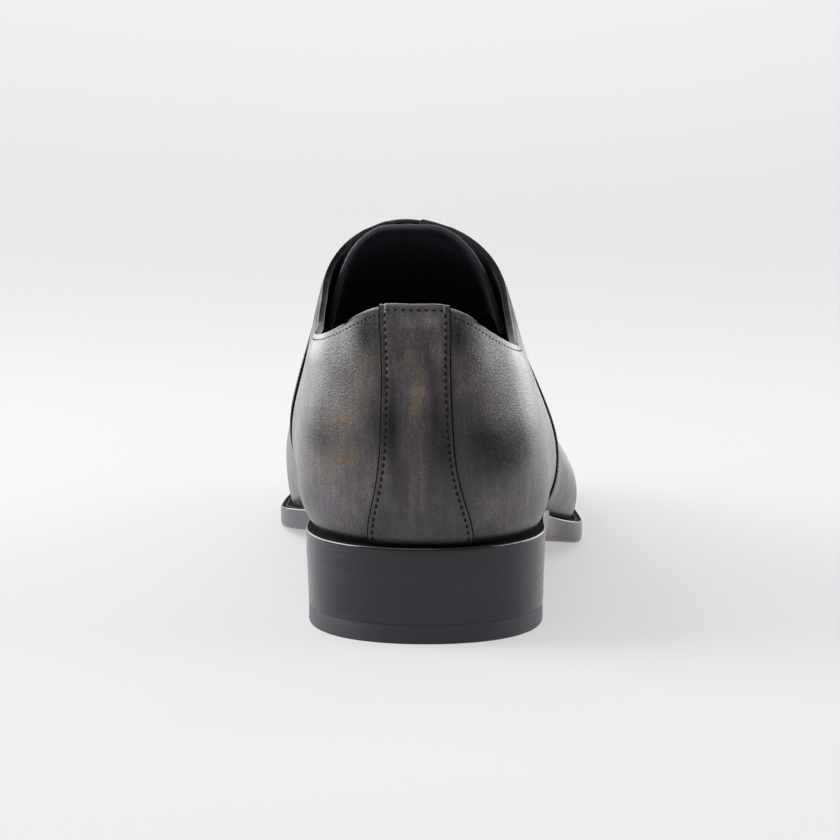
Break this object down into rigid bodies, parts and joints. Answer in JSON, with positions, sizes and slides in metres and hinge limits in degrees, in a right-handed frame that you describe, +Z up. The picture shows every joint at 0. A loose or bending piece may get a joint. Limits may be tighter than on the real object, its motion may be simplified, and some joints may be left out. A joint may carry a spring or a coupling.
{
  "type": "oxford shoe",
  "caption": "Right-foot cap toe oxford with a lasted leather upper, closed lacing, tongue, backstay, welted leather sole with toe spring, and a stacked heel with a rubber top lift.",
  "frame": {"origin": "middle of the bounding box on the floor plane that the heel and forefoot stand on", "axes": "+Y along the shoe from heel to toe, +Z up, +X to the outer side of the foot"},
  "size_m": [0.1054, 0.3068, 0.1134],
  "materials": {
    "top_lift_rubber": "matt black rubber",
    "heel_leather": "dark edge ink, satin, fine level brush lines",
    "sole_leather": "stained russet underside, smooth",
    "edge_leather": "polished black edge ink",
    "sock_leather": "matt black sock lining",
    "burnished_leather": "dark grey patina with olive and brown streaks, satin",
    "toe_leather": "dark grey patina, polished",
    "backstay_leather": "dark grey patina with a warm streak, satin",
    "tongue_leather": "black leather, satin",
    "waxed_cord": "waxed round cord"
  },
  "bodies": {
    "root": {"top_lift": "top_lift_rubber", "heel_stack": "heel_leather", "outsole": "sole_leather", "welt": "edge_leather", "insole": "sock_leather", "upper": "burnished_leather", "toe_cap": "toe_leather", "backstay": "backstay_leather", "tongue": "tongue_leather", "lace": "waxed_cord"}
  },
  "joints": []
}
